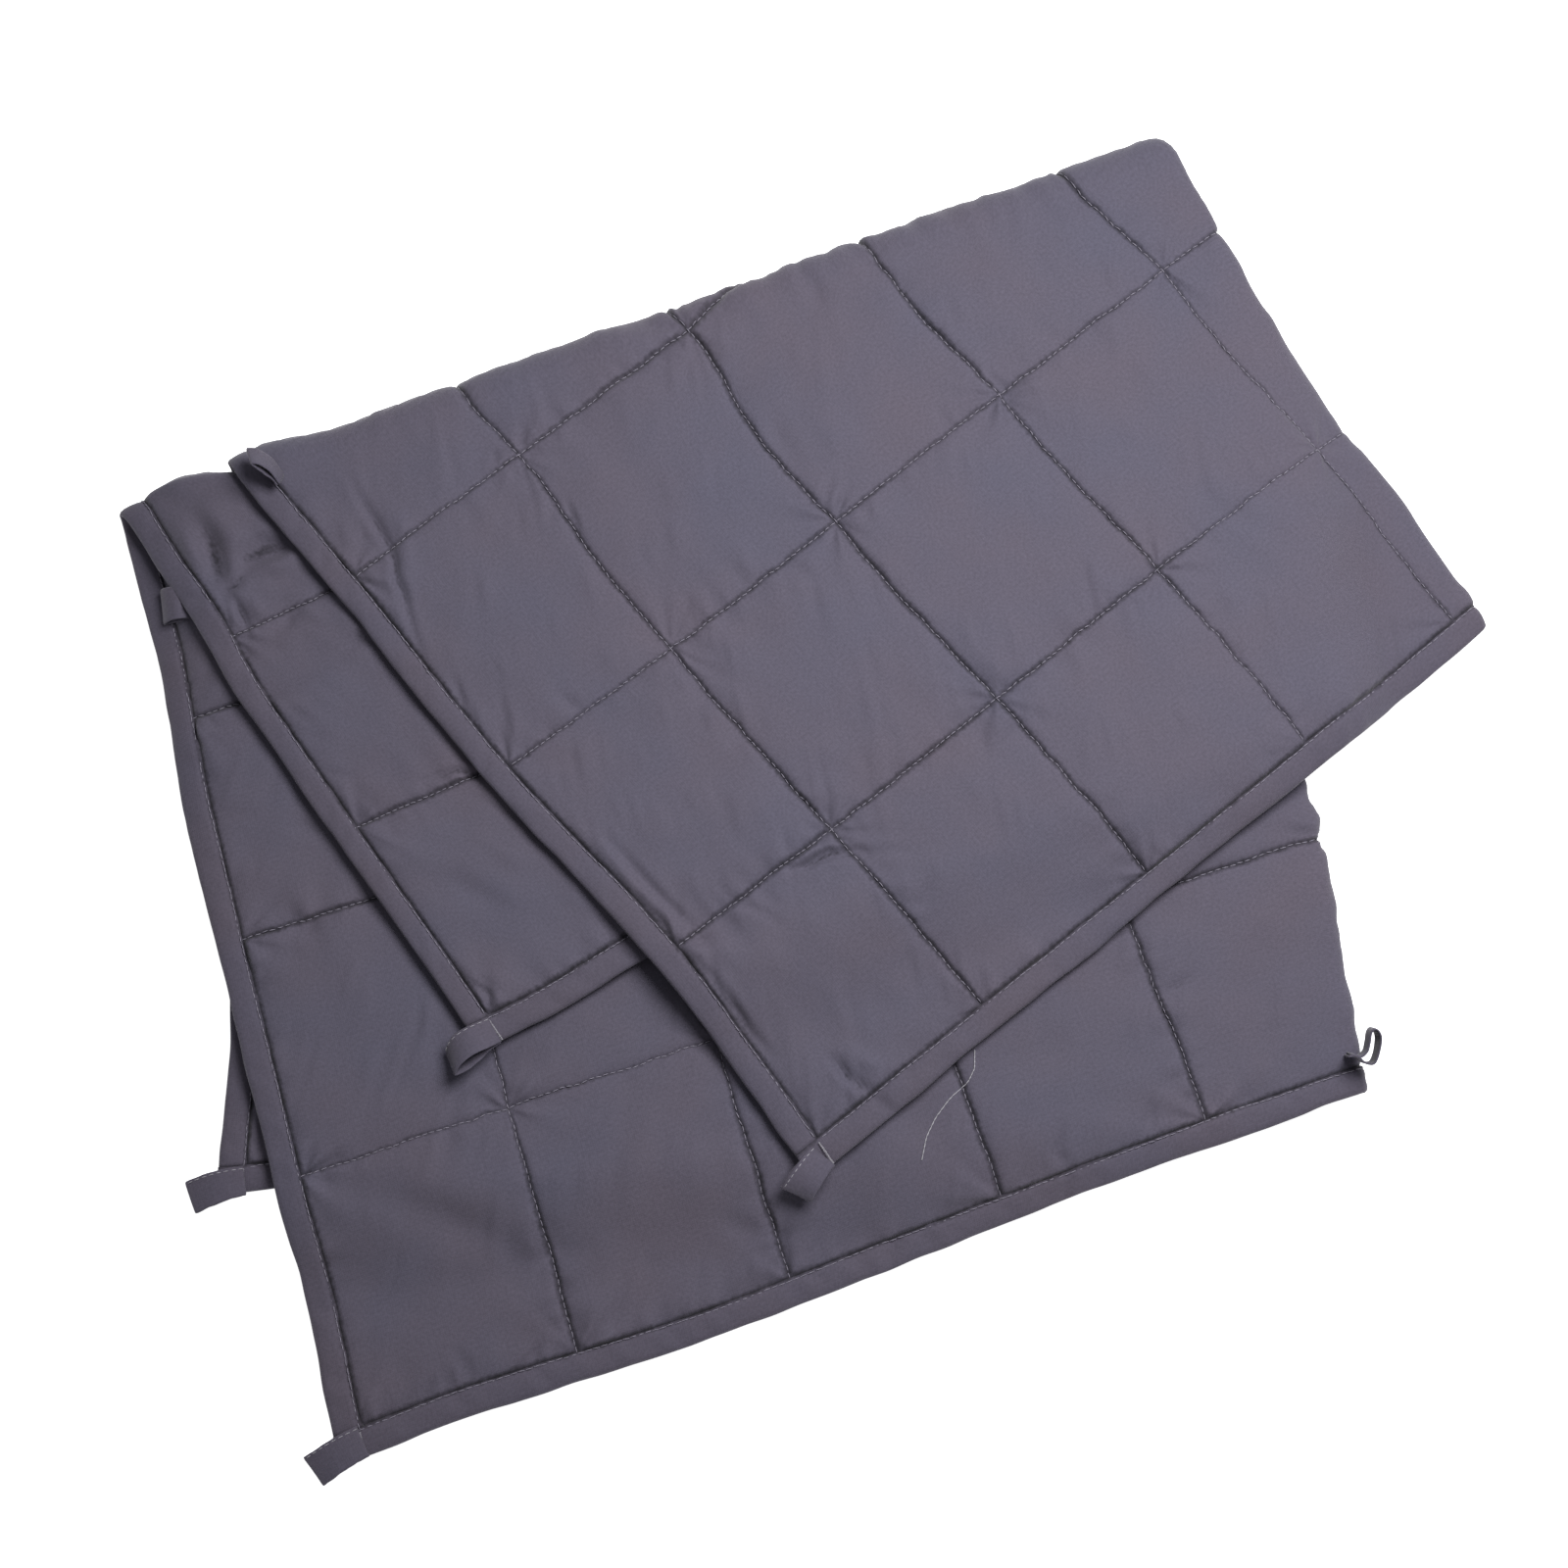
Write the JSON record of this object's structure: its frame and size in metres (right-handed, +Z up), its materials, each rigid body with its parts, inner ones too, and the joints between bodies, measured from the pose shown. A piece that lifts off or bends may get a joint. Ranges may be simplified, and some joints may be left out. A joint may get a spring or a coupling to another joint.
{
  "type": "weighted dog blanket",
  "caption": "Folded rectangular weighted pet blanket with sewn filled cells, bound edges and small tape loops at its corners and edges.",
  "frame": {"origin": "on the surface under the middle of the folded blanket's box", "axes": "+Z up out of the pile of layers; +Y towards the second crease, the long fold at the back; +X to the right, towards the first crease"},
  "size_m": [0.6474, 0.6332, 0.0544],
  "materials": {
    "quilt_cloth": "matt fine plain weave, dark purple grey",
    "binding_cloth": "matt fine plain weave, folded over the edge and top stitched",
    "loop_tape": "matt fine plain weave tape, doubled"
  },
  "bodies": {
    "root": {"quilt": "quilt_cloth", "side_binding_1": "binding_cloth", "side_binding_2": "binding_cloth", "hem_binding_1": "binding_cloth", "hem_binding_2": "binding_cloth", "corner_loop_1": "loop_tape", "corner_loop_2": "loop_tape", "corner_loop_3": "loop_tape", "corner_loop_4": "loop_tape", "side_loop_1": "loop_tape", "side_loop_2": "loop_tape", "hem_loop": "loop_tape"}
  },
  "joints": []
}
